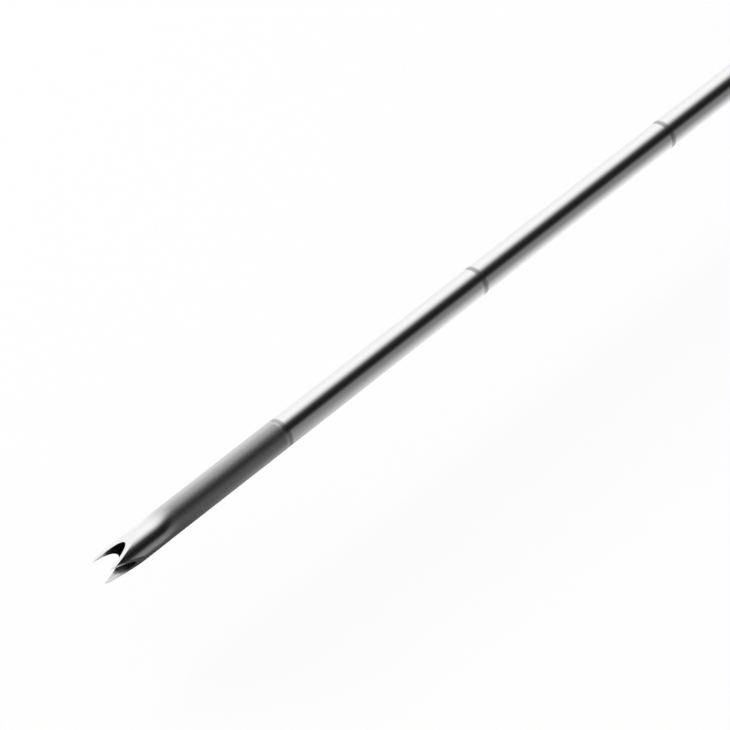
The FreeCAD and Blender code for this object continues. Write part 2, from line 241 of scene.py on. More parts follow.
print("table at", round(cad_low.z / mm, 2), "mm")

# %% [markdown]
# One broad lamp gives the matt pieces their modelling and the soft shadow on the table. It hangs
# behind and above the needle, where the white cloth is. The steel already mirrors the cloth, so the
# lamp itself is kept out of mirrored rays.

# %% Hang the lamp
lamp_power = 1.5
lamp_size = 0.5
lamp_distance = 0.7
lamp_lean = math.radians(-38)

lamp_data = bpy.data.lights.new("key_lamp", "AREA")
lamp_data.energy = lamp_power
lamp_data.size = lamp_size
lamp = bpy.data.objects.new("key_lamp", lamp_data)
bpy.context.scene.collection.objects.link(lamp)
from_needle = Vector((-0.25, -math.sin(lamp_lean), math.cos(lamp_lean))).normalized()
needle_middle = (cad_low + cad_high) / 2
lamp.location = needle_middle + from_needle * lamp_distance
lamp.rotation_euler = from_needle.to_track_quat("Z", "Y").to_euler()
lamp.visible_glossy = False
lamp.visible_camera = False
print("lamp power", lamp_power, "W at", lamp_distance, "m")

# %% [markdown]
# Surface effects that several finishes share are node groups. Drawn wire and tube carry fine lines
# along their length, and turned pieces carry them round: both are one noise that is squeezed more in
# some directions than in others. Moulded and blasted surfaces carry a fine even grain, and clouds that
# are much wider than the grain.

# %% Build the shared effects
cloud_share = 0.04


def new_group(name, inputs, outputs):
    """An empty shader group with the sockets named, and its input and output nodes."""
    group = bpy.data.node_groups.new(name, "ShaderNodeTree")
    for label, kind in inputs.items():
        group.interface.new_socket(name=label, in_out="INPUT", socket_type=kind)
    for label, kind in outputs.items():
        group.interface.new_socket(name=label, in_out="OUTPUT", socket_type=kind)
    return group, group.nodes.new("NodeGroupInput"), group.nodes.new("NodeGroupOutput")


fine_lines, given, result = new_group("fine_lines",
                                      {"Place": "NodeSocketVector", "Squeeze": "NodeSocketVector",
                                       "Contrast": "NodeSocketFloat"},
                                      {"Lines": "NodeSocketFloat"})
squeezed = put(fine_lines, "ShaderNodeVectorMath", {0: given.outputs["Place"], 1: given.outputs["Squeeze"]},
               operation="MULTIPLY")
streaks = put(fine_lines, "ShaderNodeTexNoise", {"Vector": squeezed.outputs[0], "Scale": 1.0, "Detail": 3.0,
                                                 "Roughness": 0.6})
centred = maths(fine_lines, "SUBTRACT", streaks.outputs["Fac"], 0.5)
contrasted = maths(fine_lines, "MULTIPLY", centred, given.outputs["Contrast"])
fine_lines.links.new(contrasted, result.inputs["Lines"])

fine_grain, given, result = new_group("fine_grain",
                                      {"Place": "NodeSocketVector", "Fineness": "NodeSocketFloat",
                                       "Cloudiness": "NodeSocketFloat"},
                                      {"Grain": "NodeSocketFloat", "Clouds": "NodeSocketFloat"})
grains = put(fine_grain, "ShaderNodeTexNoise", {"Vector": given.outputs["Place"],
                                                "Scale": given.outputs["Fineness"], "Detail": 2.0})
wide = maths(fine_grain, "MULTIPLY", given.outputs["Fineness"], cloud_share)
clouds = put(fine_grain, "ShaderNodeTexNoise", {"Vector": given.outputs["Place"], "Scale": wide,
                                                "Detail": 3.0})
uneven = maths(fine_grain, "MULTIPLY", maths(fine_grain, "SUBTRACT", clouds.outputs["Fac"], 0.5),
               given.outputs["Cloudiness"])
fine_grain.links.new(grains.outputs["Fac"], result.inputs["Grain"])
fine_grain.links.new(uneven, result.inputs["Clouds"])
print("groups", [group.name for group in bpy.data.node_groups])

# %% [markdown]
# Every material starts from the same few nodes: a Principled shader, the piece's own coordinates and
# a group placed with this finish's values. Numbers that hold all over a surface are set on the shader
# itself, and only what changes over the surface is linked.

# %% Tools for materials
def new_material(name, **sockets):
    """A material with one Principled shader; returns it with its tree, shader and coordinates."""
    material = bpy.data.materials.new(name)
    material.use_nodes = True
    tree = material.node_tree
    shader = tree.nodes["Principled BSDF"]
    for label, value in sockets.items():
        shader.inputs[label.replace("_", " ")].default_value = value
    return material, tree, shader, put(tree, "ShaderNodeTexCoord").outputs["Object"]


def use(tree, group, **inputs):
    """Place a shared effect in a material."""
    return put(tree, "ShaderNodeGroup", inputs, node_tree=group).outputs


def shift_roughness(tree, shader, change, around):
    """Roughness that varies about a middle value."""
    tree.links.new(maths(tree, "ADD", change, around), shader.inputs["Roughness"])


def emboss(tree, shader, height, depth):
    """Bump of a real depth in metres; returns the node, so that its normals can be turned."""
    bump = put(tree, "ShaderNodeBump", {"Height": height, "Distance": depth, "Strength": 1.0})
    tree.links.new(bump.outputs[0], shader.inputs["Normal"])
    return bump


print("material helpers ready")

# %% [markdown]
# The cannula's steel has four finishes along its length. The crown is polished bright. Behind it
# comes a band that is blasted dull, so that ultrasound finds it. The shaft is polished, with fine
# lines from drawing, and a dark etched ring stands every centimetre. One material holds all four,
# because they are one tube: masks along X mix their colours and roughnesses.
#
# Two small effects sit on top. Where the crown was held for grinding the wall is pinched a little out
# of round on one side, which moves the mirrored stripe, so the normals are turned about the axis
# there. And a blasted metal shines again at a grazing angle, so its gloss rises towards the outline.

# %% Mix the cannula's steel
points_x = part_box("cannula_tube")[0].x
crown_end_x = points_x + 2.8 * mm
blasted_end_x = points_x + 8.56 * mm
soft_start = 0.7 * mm
soft_end = 0.12 * mm
band_wander = 0.9 * mm
first_mark_x = points_x + 8.7 * mm
mark_pitch = 10 * mm
mark_count = 9
mark_width = 0.22 * mm
pit_depth = 0.004 * mm
polished_tone = 0.82
blasted_tone = 0.38
etched_tone = 0.40
polished_roughness = 0.09
blasted_roughness = 0.43
etched_roughness = 0.26
shine_start = 0.30
shine_end = 0.62
crown_pinch = math.radians(-12)
pinch_start_y = 0.15 * mm
pinch_end_y = 0.34 * mm


def cannula_steel():
    """Polished tube with a blasted band and etched ring marks."""
    material, tree, shader, place = new_material("cannula_steel", Metallic=1.0,
                                                 Coat_IOR=4.0, Coat_Roughness=0.10)
    where = put(tree, "ShaderNodeSeparateXYZ", {"Vector": place}).outputs
    along = where["X"]
    lines = use(tree, fine_lines, Place=place, Squeeze=(300, 14000, 14000), Contrast=0.10)["Lines"]
    grain = use(tree, fine_grain, Place=place, Fineness=16000, Cloudiness=0.25)
    ragged = maths(tree, "MULTIPLY", grain["Clouds"], band_wander)
    edge = maths(tree, "ADD", along, ragged)
    past_crown = step(tree, edge, crown_end_x - soft_start, crown_end_x + soft_start)
    before_end = step(tree, edge, blasted_end_x - soft_end, blasted_end_x + soft_end, 1.0, 0.0)
    blasted = maths(tree, "MULTIPLY", past_crown, before_end)
    from_first = maths(tree, "SUBTRACT", along, first_mark_x)
    wrapped = {0: from_first, 1: mark_pitch / 2, 2: -mark_pitch / 2}
    from_mark = put(tree, "ShaderNodeMath", wrapped, operation="WRAP").outputs[0]
    off_mark = maths(tree, "ABSOLUTE", from_mark)
    ring = step(tree, off_mark, mark_width * 0.2, mark_width * 0.65, 1.0, 0.0)
    last_mark_x = first_mark_x + (mark_count - 0.5) * mark_pitch
    ring = maths(tree, "MULTIPLY", ring, maths(tree, "LESS_THAN", along, last_mark_x))
    speckled = maths(tree, "ADD", grain["Clouds"], 1.0)
    dull = blend(tree, grain["Grain"], grey(blasted_tone * 0.9), grey(blasted_tone * 1.1))
    colour = blend(tree, blasted, (polished_tone, polished_tone, polished_tone * 1.01, 1), dull)
    colour = blend(tree, maths(tree, "MULTIPLY", ring, speckled), colour, grey(etched_tone))
    tree.links.new(colour, shader.inputs["Base Color"])
    roughness = step(tree, blasted, 0, 1, polished_roughness, blasted_roughness)
    etched = maths(tree, "MULTIPLY", ring, etched_roughness - polished_roughness)
    unevenness = maths(tree, "ADD", maths(tree, "MULTIPLY", lines, 0.4), etched)
    shift_roughness(tree, shader, unevenness, roughness)
    grazing = put(tree, "ShaderNodeLayerWeight", {"Blend": 0.5}).outputs["Facing"]
    shine = maths(tree, "MULTIPLY", blasted, step(tree, grazing, shine_start, shine_end))
    tree.links.new(shine, shader.inputs["Coat Weight"])
    pits = maths(tree, "MULTIPLY", grain["Grain"], blasted)
    relief = maths(tree, "ADD", pits, maths(tree, "MULTIPLY", lines, 0.3))
    bump = emboss(tree, shader, relief, pit_depth)
    turn = maths(tree, "MULTIPLY", step(tree, past_crown, 0, 1, crown_pinch, 0.0),
                 step(tree, where["Y"], pinch_start_y, pinch_end_y, 1.0, 0.0))
    normal = put(tree, "ShaderNodeNewGeometry").outputs["Normal"]
    pinched = put(tree, "ShaderNodeVectorRotate", {"Vector": normal, "Angle": turn},
                  rotation_type="X_AXIS")
    tree.links.new(pinched.outputs[0], bump.inputs["Normal"])
    return material


print("ring marks", mark_count, "first at", round(first_mark_x / mm, 1), "mm")

# %% [markdown]
# The other steels are simpler. Inside the tube the steel is dull, with drawing lines, and dark as
# painted shade in the bore. At the very points its wall is pale and matt as painted light on the
# mouth. The ground faces of the crown are bright with fine wheel lines, and the stylet is drawn wire.
# Ferrules are turned, and the screw's stud has a rolled thread.

# %% Mix the other metals
# Painted light on the bore's wall near the points, then painted shade from further in.
painted_light_length = 0.5 * mm
painted_shade_start = 0.8 * mm
along_x = (400, 16000, 16000)
across_x = (2500, 26000, 2500)
round_x = (30000, 500, 500)
round_z = (500, 500, 30000)


def lined_metal(name, colour, roughness, squeeze, contrast, depth):
    """A metal with fine lines that run the way it was drawn, ground or turned."""
    material, tree, shader, place = new_material(name, Metallic=1.0)
    lines = use(tree, fine_lines, Place=place, Squeeze=squeeze, Contrast=contrast)["Lines"]
    clouds = use(tree, fine_grain, Place=place, Fineness=9000, Cloudiness=0.3)["Clouds"]
    light_side = tuple(min(1, part * 1.12) for part in colour) + (1,)
    dark_side = tuple(part * 0.86 for part in colour) + (1,)
    streaked = maths(tree, "ADD", maths(tree, "ADD", lines, clouds), 0.5)
    tree.links.new(blend(tree, streaked, dark_side, light_side), shader.inputs["Base Color"])
    shift_roughness(tree, shader, maths(tree, "MULTIPLY", lines, 0.5), roughness)
    emboss(tree, shader, lines, depth)
    return material


def bore_steel():
    """The wall inside the tube: pale as painted light at the points, dark as painted shade deeper in."""
    material, tree, shader, place = new_material("bore_steel")
    along = put(tree, "ShaderNodeSeparateXYZ", {"Vector": place}).outputs["X"]
    # Painted light and shade: 0 is pale and matt at the points, 1 is dark deeper in the bore.
    drawn = step(tree, along, points_x + painted_light_length, points_x + painted_shade_start)
    lines = use(tree, fine_lines, Place=place, Squeeze=along_x, Contrast=0.5)["Lines"]
    dark = blend(tree, maths(tree, "ADD", lines, 0.5), grey(0.27), grey(0.33))
    tree.links.new(blend(tree, drawn, grey(0.95), dark), shader.inputs["Base Color"])
    tree.links.new(drawn, shader.inputs["Metallic"])
    roughness = step(tree, drawn, 0, 1, 0.2, 0.38)
    shift_roughness(tree, shader, maths(tree, "MULTIPLY", lines, 0.5), roughness)
    emboss(tree, shader, lines, 0.002 * mm)
    return material


finishes = {
    "cannula_steel": cannula_steel(),
    "bore_steel": bore_steel(),
    "ground_steel": lined_metal("ground_steel", (0.80, 0.80, 0.81), 0.10, across_x, 0.3, 0.001 * mm),
    "rod_steel": lined_metal("rod_steel", (0.68, 0.68, 0.69), 0.17, along_x, 0.4, 0.002 * mm),
    "ferrule_steel": lined_metal("ferrule_steel", (0.56, 0.56, 0.57), 0.24, round_x, 0.6, 0.003 * mm),
    "stud_steel": lined_metal("stud_steel", (0.60, 0.60, 0.60), 0.26, round_z, 0.4, 0.002 * mm),
    "insert_brass": lined_metal("insert_brass", (0.80, 0.61, 0.30), 0.24, round_z, 0.5, 0.003 * mm),
    "shoe_brass": lined_metal("shoe_brass", (0.76, 0.58, 0.29), 0.30, round_z, 0.5, 0.003 * mm),
}
print("metals", sorted(finishes))

# %% [markdown]
# The plastics differ mostly in how much light goes into them. The hub is clear polycarbonate, the
# adhesive is cloudy, the collar lets a little light under its skin, and the stop's nylon has a fine
# spark-eroded texture from its mould. Each gets its own grain depth and unevenness.

# %% Mix the plastics
def moulded(name, colour, roughness, fineness, depth, cloudiness=0.25, **sockets):
    """A moulded plastic: slightly uneven colour, a skin of fine grain and a shine that varies."""
    material, tree, shader, place = new_material(name, **sockets)
    grain = use(tree, fine_grain, Place=place, Fineness=fineness, Cloudiness=cloudiness)
    pale = tuple(min(1, part * 1.06) for part in colour) + (1,)
    deep = tuple(part * 0.93 for part in colour) + (1,)
    patches = maths(tree, "ADD", grain["Clouds"], 0.5)
    tree.links.new(blend(tree, patches, deep, pale), shader.inputs["Base Color"])
    shift_roughness(tree, shader, maths(tree, "MULTIPLY", grain["Clouds"], 0.4), roughness)
    emboss(tree, shader, grain["Grain"], depth)
    return material


under_skin = {"Subsurface_Weight": 0.35, "Subsurface_Radius": (0.6, 0.5, 0.4),
              "Subsurface_Scale": 1 * mm}
finishes.update({
    "clear_plastic": moulded("clear_plastic", (0.90, 0.945, 0.965), 0.06, 2500, 0.001 * mm, IOR=1.58,
                             Transmission_Weight=1.0),
    "adhesive": moulded("adhesive", (0.88, 0.84, 0.70), 0.22, 3000, 0.004 * mm, IOR=1.5,
                        Transmission_Weight=0.7),
    "cap_plastic": moulded("cap_plastic", (0.80, 0.70, 0.49), 0.30, 6000, 0.002 * mm, **under_skin),
    "plug_plastic": moulded("plug_plastic", (0.72, 0.58, 0.34), 0.20, 6000, 0.001 * mm, **under_skin),
    "collar_plastic": moulded("collar_plastic", (0.82, 0.83, 0.81), 0.28, 5000, 0.002 * mm, **under_skin),
    "stop_plastic": moulded("stop_plastic", (0.74, 0.75, 0.74), 0.48, 9000, 0.012 * mm, **under_skin),
    "silicone": moulded("silicone", (0.62, 0.62, 0.60), 0.60, 4000, 0.004 * mm, Sheen_Weight=0.2),
    "retainer_plastic": moulded("retainer_plastic", (0.26, 0.29, 0.33), 0.42, 9000, 0.006 * mm),
    "knob_plastic": moulded("knob_plastic", (0.075, 0.155, 0.30), 0.33, 9000, 0.005 * mm),
})
print("finishes", len(finishes))

# %% [markdown]
# Shapes come next. Blender's operators work on whatever is selected, so each new piece starts by
# deselecting everything, and inside edit mode faces are picked in code, by their place and normal.

# %% Tools for modelling
cone_length = 150 * mm


def round_bar(name, radius, start_x, end_x, sides):
    """A closed cylinder along the needle's axis."""
    bpy.ops.object.select_all(action="DESELECT")
    bpy.ops.mesh.primitive_cylinder_add(vertices=sides, radius=radius, depth=end_x - start_x,
                                        location=((start_x + end_x) / 2, 0, 0),
                                        rotation=(0, math.pi / 2, 0))
    bar = bpy.context.object
    bar.name = name
    bpy.ops.object.transform_apply(location=True, rotation=True, scale=True)
    return bar


def pick_faces(piece, wanted):
    """In edit mode, select only the faces whose centre and normal are wanted; returns their number."""
    bpy.ops.mesh.select_mode(type="FACE")
    bpy.ops.mesh.select_all(action="DESELECT")
    mesh = bmesh.from_edit_mesh(piece.data)
    mesh.normal_update()
    for face in mesh.faces:
        face.select_set(wanted(face.calc_center_median(), face.normal))
    bmesh.update_edit_mesh(piece.data)
    return sum(face.select for face in mesh.faces)


def cut_through(place, facing):
    """In edit mode, score the whole mesh along a plane and keep all of it."""
    bpy.ops.mesh.select_all(action="SELECT")
    bpy.ops.mesh.bisect(plane_co=place, plane_no=facing)


def carve(piece, tool, operation):
    """Cut a piece with a closed tool, and throw the tool away."""
    cut = piece.modifiers.new("carve", "BOOLEAN")
    cut.operation = operation
    cut.solver = "EXACT"
    cut.object = tool
    bpy.ops.object.select_all(action="DESELECT")
    piece.select_set(True)
    bpy.context.view_layer.objects.active = piece
    bpy.ops.object.modifier_apply(modifier="carve")
    bpy.data.objects.remove(tool)


def grind_three_flats(piece, tip_x, corner, lean, clock):
    """Keep what is in a long three-sided cone, whose corners stand corner off the axis at tip_x."""
    apex_x = tip_x - corner / 2 / math.tan(lean)
    bpy.ops.object.select_all(action="DESELECT")
    bpy.ops.mesh.primitive_cone_add(vertices=3, radius1=2 * cone_length * math.tan(lean),
                                    depth=cone_length, location=(apex_x + cone_length / 2, 0, 0),
                                    rotation=(0, -math.pi / 2, 0))
    cone = bpy.context.object
    bpy.ops.object.transform_apply(location=True, rotation=True, scale=True)
    cone.rotation_euler.x = math.radians(clock + 30)
    bpy.ops.object.transform_apply(location=True, rotation=True, scale=True)
    flats = [Vector(face.normal) for face in cone.data.polygons if face.normal.x < 0.5]
    carve(piece, cone, "INTERSECT")
    print(piece.name, "ground at", [round(math.degrees(math.atan2(-flat.y, flat.z))) for flat in flats])
    return flats


def set_material(piece, finish):
    """In edit mode, give the selected faces a finish."""
    piece.data.materials.append(finishes[finish])
    piece.active_material_index = len(piece.data.materials) - 1
    bpy.ops.object.material_slot_assign()


def close_up(piece, smooth_degrees):
    """Merge doubles, turn all faces outwards, and smooth what turns by less than an angle."""
    bpy.ops.mesh.select_all(action="SELECT")
    bpy.ops.mesh.remove_doubles(threshold=0.00001 * mm)
    bpy.ops.mesh.normals_make_consistent(inside=False)
    open_edges = sum(not edge.is_manifold for edge in bmesh.from_edit_mesh(piece.data).edges)
    bpy.ops.object.mode_set(mode="OBJECT")
    bpy.ops.object.shade_smooth_by_angle(angle=math.radians(smooth_degrees))
    print(piece.name, "faces", len(piece.data.polygons), "open edges", open_edges)


def fit_in(piece, body, node):
    """The finished piece rides on its body and stands for its node of the frame."""
    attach(piece, body)
    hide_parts(node)


print("modelling helpers ready")

# %% [markdown]
# On the real cannula three flat grinds meet in a crown of three points. Each grind leans in towards
# the points and stops just where the bore is as wide as the triangle that the three of them form, so
# the points stand on the bore's edge.
#
# Three blocks could cut the flats one by one, but what the grinds leave is simply the inside of a long
# three-sided cone, so one boolean does them all. The tube starts as a solid bar: both ends are inset
# and bridged, which makes the bore. The ring marks are scored with two cuts each, and pressed in a
# little.

# %% Model the crown cannula
tube_low, tube_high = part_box("cannula_tube")
tube_radius = tube_high.y
bore_radius = 0.4445 * mm
tube_sides = 96
grind_lean = math.radians(10.5)
crown_clock = -10
point_gap = 0.003 * mm
mark_depth = 0.008 * mm


def off_axis(place):
    """A point's distance from the needle's axis."""
    return math.hypot(place.y, place.z)


cannula = round_bar("crown_cannula", tube_radius, points_x, tube_high.x, tube_sides)
bpy.ops.object.mode_set(mode="EDIT")
pick_faces(cannula, lambda centre, normal: abs(normal.x) > 0.9)
bpy.ops.mesh.inset(thickness=tube_radius - bore_radius)
bpy.ops.mesh.bridge_edge_loops()
for number in range(mark_count):
    mark_x = first_mark_x + number * mark_pitch
    for edge_x in (mark_x - mark_width / 2, mark_x + mark_width / 2):
        cut_through((edge_x, 0, 0), (1, 0, 0))
wall_middle = (tube_radius + bore_radius) / 2


def in_a_mark(centre, normal):
    """Whether a face is on the outside of the tube, between the two cuts of a ring mark."""
    nearest = round((centre.x - first_mark_x) / mark_pitch) * mark_pitch + first_mark_x
    outside = off_axis(centre) > wall_middle and abs(normal.x) < 0.1
    return outside and abs(centre.x - nearest) < mark_width / 2


def in_the_bore(centre, normal):
    """Whether a face looks towards the needle's axis."""
    return centre.y * normal.y + centre.z * normal.z < -0.1 * off_axis(centre)


print("faces in marks", pick_faces(cannula, in_a_mark))
bpy.ops.mesh.extrude_region_shrink_fatten(TRANSFORM_OT_shrink_fatten={"value": -mark_depth})
bpy.ops.object.mode_set(mode="OBJECT")

# %% Grind the crown
flats = grind_three_flats(cannula, points_x + point_gap, bore_radius, grind_lean, crown_clock)
bpy.ops.object.mode_set(mode="EDIT")
bpy.ops.mesh.select_all(action="SELECT")
set_material(cannula, "cannula_steel")
pick_faces(cannula, in_the_bore)
set_material(cannula, "bore_steel")
pick_faces(cannula, lambda centre, normal: any(normal.dot(flat) > 0.999 for flat in flats))
set_material(cannula, "ground_steel")
close_up(cannula, 8)
fit_in(cannula, "cannula", "cannula_tube")

# %% [markdown]
# The stylet is a solid wire with a three-sided point. It is the same job as the crown, with a blunter
# cone whose corners meet on the axis. The wire starts a little too long, so that the cone cuts all of
# its end.

# %% Model the stylet
rod_low, rod_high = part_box("stylet_rod")
rod_sides = 72
wire_spare = 0.5 * mm
point_lean = math.radians(16)

stylet = round_bar("stylet_wire", rod_high.y, rod_low.x - wire_spare, rod_high.x, rod_sides)
grind_three_flats(stylet, rod_low.x, 0, point_lean, 0)
bpy.ops.object.mode_set(mode="EDIT")
bpy.ops.mesh.select_all(action="SELECT")
set_material(stylet, "rod_steel")
close_up(stylet, 10)
fit_in(stylet, "stylet", "stylet_rod")

# %% [markdown]
# Threads are too fine for the frame. Here each is one ridge: a triangle that the screw modifier
# sweeps round and along the axis. Its ends are open after that, so the holes are filled. The ridges
# sink a little into the pieces that carry them, which needs no boolean.

# %% Tools for threads
def thread_ridge(name, flank_r, crest_r, start, lead, turns, steps):
    """A three-sided ridge from flank_r to crest_r, wound right-handed about Z."""
    size = abs(crest_r - flank_r) / 1.5
    towards = math.copysign(math.pi / 2, crest_r - flank_r)
    bpy.ops.object.select_all(action="DESELECT")
    bpy.ops.mesh.primitive_circle_add(vertices=3, radius=size, rotation=(math.pi / 2, towards, 0),
                                      location=(crest_r - math.copysign(size, crest_r - flank_r), 0, start))
    ridge = bpy.context.object
    ridge.name = name
    bpy.ops.object.transform_apply(location=True, rotation=True, scale=True)
    sweep = ridge.modifiers.new("sweep", "SCREW")
    sweep.axis = "Z"
    sweep.screw_offset = lead
    sweep.iterations = turns
    sweep.steps = steps
    sweep.render_steps = steps
    bpy.ops.object.modifier_apply(modifier="sweep")
    bpy.ops.object.mode_set(mode="EDIT")
    bpy.ops.mesh.select_all(action="SELECT")
    bpy.ops.mesh.fill_holes(sides=3)
    bpy.ops.object.mode_set(mode="OBJECT")
    return ridge


def copy_of(piece, turn=0.0, shift=(0, 0, 0)):
    """A copy with its own mesh, turned about the needle's axis and moved by millimetres."""
    bpy.ops.object.select_all(action="DESELECT")
    piece.select_set(True)
    bpy.context.view_layer.objects.active = piece
    bpy.ops.object.duplicate()
    copied = bpy.context.object
    copied.rotation_euler.x = turn
    copied.location = [part * mm for part in shift]
    bpy.ops.object.transform_apply(location=True, rotation=True, scale=True)
    return copied


def set_around(piece, count):
    """The piece and its copies, evenly spaced about the needle's axis."""
    return [piece] + [copy_of(piece, turn=2 * math.pi * number / count) for number in range(1, count)]


def join(parts, name):
    """Make one object of several closed shells."""
    bpy.ops.object.select_all(action="DESELECT")
    for part in parts:
        part.select_set(True)
    bpy.context.view_layer.objects.active = parts[0]
    bpy.ops.object.join()
    parts[0].name = name
    return parts[0]


print("thread helpers ready")

# %% [markdown]
# The thumb screw's stud is a core with a metric 2.5 mm thread, a short pilot at its foot that turns in
# the shoe, and a hexagonal head that the knob is moulded over.

# %% Model the threaded stud
stud_low, stud_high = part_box("screw_stud")
stud_x = (stud_low.x + stud_high.x) / 2
stud_sides = 48
crest_radius = 1.25 * mm
root_radius = 0.97 * mm
stud_pitch = 0.45 * mm
stud_turns = 10
pilot_radius = 0.6 * mm
pilot_length = 0.4 * mm
head_length = 2.2 * mm
head_radius = 2.1 * mm
sunk = 0.02 * mm

foot_z = stud_low.z + pilot_length
core_top_z = stud_high.z - 0.5 * mm
bpy.ops.object.select_all(action="DESELECT")
bpy.ops.mesh.primitive_cylinder_add(vertices=stud_sides, radius=root_radius, depth=core_top_z - foot_z,
                                    location=(0, 0, (core_top_z + foot_z) / 2))
core = bpy.context.object
bpy.ops.object.transform_apply(location=True, rotation=True, scale=True)
bpy.ops.object.mode_set(mode="EDIT")
pick_faces(core, lambda centre, normal: normal.z < -0.9)
bpy.ops.mesh.inset(thickness=root_radius - pilot_radius)
bpy.ops.mesh.extrude_region_move(TRANSFORM_OT_translate={"value": (0, 0, -pilot_length)})
bpy.ops.object.mode_set(mode="OBJECT")
bpy.ops.object.select_all(action="DESELECT")
bpy.ops.mesh.primitive_cylinder_add(vertices=6, radius=head_radius, depth=head_length,
                                    location=(0, 0, stud_high.z - head_length / 2),
                                    rotation=(0, 0, math.pi / 6))
head = bpy.context.object
bpy.ops.object.transform_apply(location=True, rotation=True, scale=True)
carve(core, head, "UNION")
ridge = thread_ridge("stud_ridge", root_radius - sunk, crest_radius, foot_z + 0.2 * mm, stud_pitch,
                     stud_turns, 40)
stud = join([core, ridge], "threaded_stud")
stud.location.x = stud_x
bpy.ops.object.transform_apply(location=True, rotation=True, scale=True)
bpy.ops.object.mode_set(mode="EDIT")
bpy.ops.mesh.select_all(action="SELECT")
set_material(stud, "stud_steel")
close_up(stud, 30)
fit_in(stud, "thumb_screw", "screw_stud")

# %% [markdown]
# The lock collar draws on the hub's two lugs with a steep thread of two starts. Both ridges are low,
# so that the lugs still pass.

# %% Model the collar's thread
collar_low, collar_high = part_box("lock_collar")
collar_wall_radius = 4.115 * mm
collar_crest_radius = 3.96 * mm
collar_lead = 5 * mm
start = thread_ridge("collar_start", collar_wall_radius + 0.04 * mm, collar_crest_radius,
                     collar_low.x + 0.7 * mm, collar_lead, 1, 64)
start.rotation_euler.y = math.pi / 2
bpy.ops.object.transform_apply(location=True, rotation=True, scale=True)
collar_thread = join(set_around(start, 2), "collar_thread")
bpy.ops.object.mode_set(mode="EDIT")
bpy.ops.mesh.select_all(action="SELECT")
set_material(collar_thread, "collar_plastic")
close_up(collar_thread, 30)
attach(collar_thread, "collar")

# %% [markdown]
# The moulded pieces that fingers touch get finer rounding than the frame has. Each is turned: a ring
# is extruded along the axis from place to place, and scaled to the profile's radius there. Profiles
# are in millimetres. Their corners are softened first, but only the outward ones, so that no fit gets
# tighter. A profile that ends where it began is a closed ring.

# %% Tools for turned and boxed pieces
def softened(profile, amount):
    """Round a profile's outward corners in three steps each."""
    closed = profile[0] == profile[-1]
    corners = profile[:-1] if closed else profile
    rounded = []
    for number, corner in enumerate(corners):
        here = Vector(corner)
        back = Vector(corners[number - 1]) - here
        ahead = Vector(corners[(number + 1) % len(corners)]) - here
        at_an_end = not closed and number in (0, len(corners) - 1)
        if at_an_end or back.x * ahead.y - back.y * ahead.x < 0.001:
            rounded.append(tuple(here))
            continue
        reach = min(amount, 0.4 * back.length, 0.4 * ahead.length)
        start = here + back.normalized() * reach
        end = here + ahead.normalized() * reach
        for share in (0, 1 / 3, 2 / 3, 1):
            left = 1 - share
            rounded.append(tuple(start * left ** 2 + here * (2 * share * left) + end * share ** 2))
    return rounded + rounded[:1] if closed else rounded


def turned(name, profile, sides=96):
    """A piece turned about X from (place, radius) points."""
    first_x, first_r = profile[0]
    bpy.ops.object.select_all(action="DESELECT")
    bpy.ops.mesh.primitive_circle_add(vertices=sides, radius=first_r * mm, location=(first_x * mm, 0, 0),
                                      rotation=(0, math.pi / 2, 0))
    piece = bpy.context.object
    piece.name = name
    bpy.ops.object.transform_apply(location=True, rotation=True, scale=True)
    bpy.ops.object.mode_set(mode="EDIT")
    bpy.ops.mesh.select_mode(type="EDGE")
    bpy.ops.mesh.select_all(action="SELECT")
    for (old_x, old_r), (new_x, new_r) in zip(profile, profile[1:]):
        growth = new_r / old_r
        bpy.ops.mesh.extrude_region_move(TRANSFORM_OT_translate={"value": ((new_x - old_x) * mm, 0, 0)})
        bpy.ops.transform.resize(value=(1, growth, growth), center_override=(new_x * mm, 0, 0))
    bpy.ops.mesh.select_all(action="SELECT")
    bpy.ops.mesh.remove_doubles(threshold=0.0005 * mm)
    bpy.ops.mesh.fill_holes(sides=sides)
    bpy.ops.mesh.normals_make_consistent(inside=False)
    bpy.ops.object.mode_set(mode="OBJECT")
    return piece


def flute(piece, count, radius, offset, start_x, end_x):
    """Cut evenly spaced round flutes along a turned piece."""
    bpy.ops.object.select_all(action="DESELECT")
    bpy.ops.mesh.primitive_cylinder_add(vertices=40, radius=radius * mm, depth=(end_x - start_x) * mm,
                                        location=((start_x + end_x) / 2 * mm, 0, offset * mm),
                                        rotation=(0, math.pi / 2, 0))
    cutter = bpy.context.object
    bpy.ops.object.transform_apply(location=True, rotation=True, scale=True)
    carve(piece, join(set_around(cutter, count), "cutters"), "DIFFERENCE")


def box(low, high):
    """A block between two corners in millimetres."""
    middle = [(near + far) / 2 * mm for near, far in zip(low, high)]
    spans = [(far - near) * mm for near, far in zip(low, high)]
    bpy.ops.object.select_all(action="DESELECT")
    bpy.ops.mesh.primitive_cube_add(size=1, location=middle, scale=spans)
    bpy.ops.object.transform_apply(location=True, rotation=True, scale=True)
    return bpy.context.object


def round_edges(piece, width, segments):
    """Bevel all edges of a piece by a width in millimetres."""
    bpy.ops.object.mode_set(mode="EDIT")
    bpy.ops.mesh.select_all(action="SELECT")
    bpy.ops.mesh.bevel(offset=width * mm, segments=segments, affect="EDGES")
    bpy.ops.object.mode_set(mode="OBJECT")


def finish_piece(piece, body, node, slot, smooth_degrees=35):
    """Give the whole piece one finish, close it up and fit it in."""
    bpy.ops.object.select_all(action="DESELECT")
    piece.select_set(True)
    bpy.context.view_layer.objects.active = piece
    bpy.ops.object.mode_set(mode="EDIT")
    bpy.ops.mesh.select_all(action="SELECT")
    set_material(piece, slot)
    close_up(piece, smooth_degrees)
    fit_in(piece, body, node)


print("turning helpers ready")

# %% [markdown]
# The cap is one moulding: luer nose, flange and neck for the collar, and a fluted grip with a well
# for the rod's tail. A domed plug closes it.

